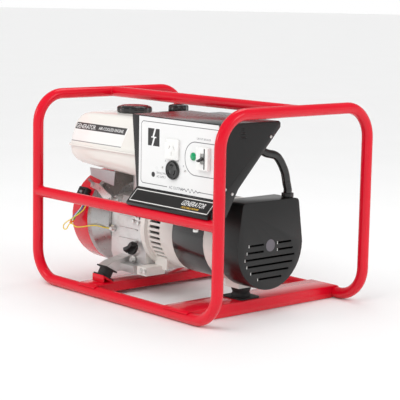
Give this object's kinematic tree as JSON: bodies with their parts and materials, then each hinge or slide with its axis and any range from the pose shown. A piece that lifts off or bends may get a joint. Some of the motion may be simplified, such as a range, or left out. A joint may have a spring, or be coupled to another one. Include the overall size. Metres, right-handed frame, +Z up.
{
  "type": "portable generator",
  "caption": "Open tube-frame generator: a small engine with fuel tank and pull starter drives an alternator, with a control box of outlets above the front rail.",
  "frame": {"origin": "on the ground under the middle of the tube frame", "axes": "+X towards the alternator end, -Y the control panel side, +Z up"},
  "size_m": [0.67, 0.473, 0.464],
  "materials": {
    "frame_red": "gloss crimson enamel",
    "cover_red": "gloss crimson enamel on pressed sheet",
    "tank_white": "warm white enamel",
    "engine_cast": "die-cast, unpainted",
    "alternator_cast": "cream painted casting",
    "band_black": "gloss black enamel",
    "sheet_black": "fine black powder coat",
    "plastic_black": "moulded, satin",
    "rubber": "matte",
    "zinc": "bright zinc plate",
    "steel": "plain",
    "exhaust_steel": "aluminised sheet",
    "panel_white": "white printed sheet",
    "plastic_white": "moulded, gloss",
    "lamp_green": "clear tinted lens",
    "wire_yellow": "wire insulation"
  },
  "bodies": {
    "generator": {"hoop_left": "frame_red", "hoop_right": "frame_red", "top_rail": "frame_red", "mid_rail": "frame_red", "channel_engine": "frame_red", "channel_alternator": "frame_red", "mount_bracket_front": "frame_red", "mount_bracket_rear": "frame_red", "engine_mount_front": "rubber", "engine_mount_rear": "rubber", "alternator_mount": "rubber", "rail_screw_left": "zinc", "rail_screw_right": "zinc", "crankcase": "engine_cast", "blower_housing": "engine_cast", "cylinder": "engine_cast", "cylinder_head": "engine_cast", "rocker_cover": "steel", "spark_plug_cap": "plastic_black", "spark_lead": "plastic_black", "fan_cover": "cover_red", "recoil_housing": "cover_red", "fuel_tank": "tank_white", "carburettor": "engine_cast", "air_cleaner_case": "plastic_black", "air_cleaner_cover": "plastic_black", "muffler": "exhaust_steel", "muffler_guard": "steel", "tank_stay": "steel", "drain_bolt": "zinc", "earth_bolt": "zinc", "earth_wire": "wire_yellow", "lead_bundle": "plastic_black", "engine_switch_body": "plastic_black", "adapter_housing": "alternator_cast", "stator": "band_black", "end_bell": "alternator_cast", "end_cover": "sheet_black", "control_box": "sheet_black", "control_panel": "panel_white", "name_plate": "band_black", "outlet": "plastic_white", "locking_socket": "plastic_black", "pilot_lamp": "lamp_green", "breaker_body": "plastic_white", "conduit": "plastic_black", "conduit_gland_upper": "plastic_black", "conduit_gland_lower": "plastic_black"},
    "crank": {"rotor_shaft": "steel", "flywheel": "engine_cast"},
    "recoil_pulley": {"recoil_pulley": "plastic_black"},
    "recoil_grip": {"recoil_grip": "plastic_black"},
    "fuel_cap": {"fuel_cap": "plastic_black"},
    "air_cleaner_knob": {"air_cleaner_knob": "plastic_black"},
    "oil_filler_cap": {"oil_filler_cap": "plastic_black"},
    "choke_lever": {"choke_lever": "plastic_black"},
    "fuel_valve_lever": {"fuel_valve_lever": "plastic_black"},
    "governor_arm": {"governor_arm": "zinc"},
    "engine_switch_rocker": {"engine_switch_rocker": "plastic_black"},
    "breaker_toggle": {"breaker_toggle": "plastic_black"}
  },
  "joints": [
    {"name": "crank_turn", "type": "hinge", "parent": "generator", "child": "crank", "pos_m": [-0.1, -0.0408, 0.1585], "axis": [1, 0, 0], "continuous": true},
    {"name": "recoil_pull", "type": "slide", "parent": "generator", "child": "recoil_grip", "axis": [0, 0.9397, 0.342], "range_m": [0, 0.1], "stiffness_N_per_m": 60, "springref_m": -0.1},
    {"name": "recoil_pulley_turn", "type": "hinge", "parent": "generator", "child": "recoil_pulley", "pos_m": [-0.297, -0.0408, 0.1585], "axis": [1, 0, 0], "range_deg": [-121, 0]},
    {"name": "fuel_cap_turn", "type": "hinge", "parent": "generator", "child": "fuel_cap", "pos_m": [-0.165, -0.0568, 0.4133], "axis": [0, 0, 1], "range_deg": [0, 90]},
    {"name": "air_cleaner_knob_turn", "type": "hinge", "parent": "generator", "child": "air_cleaner_knob", "pos_m": [-0.21, 0.1192, 0.401], "axis": [0, 0, 1], "range_deg": [0, 360]},
    {"name": "oil_filler_cap_turn", "type": "hinge", "parent": "generator", "child": "oil_filler_cap", "pos_m": [-0.076, -0.12696, 0.10529], "axis": [0, -0.9397, 0.342], "range_deg": [0, 360]},
    {"name": "choke_turn", "type": "hinge", "parent": "generator", "child": "choke_lever", "pos_m": [-0.214, 0.09315, 0.29802], "axis": [0, 1, 0], "range_deg": [-50, 0]},
    {"name": "fuel_valve_turn", "type": "hinge", "parent": "generator", "child": "fuel_valve_lever", "pos_m": [-0.192, 0.09615, 0.27202], "axis": [0, 1, 0], "range_deg": [-85, 0]},
    {"name": "governor_swing", "type": "hinge", "parent": "generator", "child": "governor_arm", "pos_m": [-0.153, -0.1201, 0.2125], "axis": [0, 1, 0], "range_deg": [-6, 14], "stiffness_Nm_per_rad": 1.5},
    {"name": "engine_switch_rock", "type": "hinge", "parent": "generator", "child": "engine_switch_rocker", "pos_m": [-0.243, -0.15243, 0.22295], "axis": [0, 0.5, 0.866], "range_deg": [-14, 0]},
    {"name": "breaker_throw", "type": "hinge", "parent": "generator", "child": "breaker_toggle", "pos_m": [0.255, -0.2114, 0.355], "axis": [1, 0, 0], "range_deg": [-32, 0]}
  ],
  "couplings": [
    {"joint": "recoil_pulley_turn", "follows": "recoil_pull", "rad_per_m": -21.008}
  ]
}
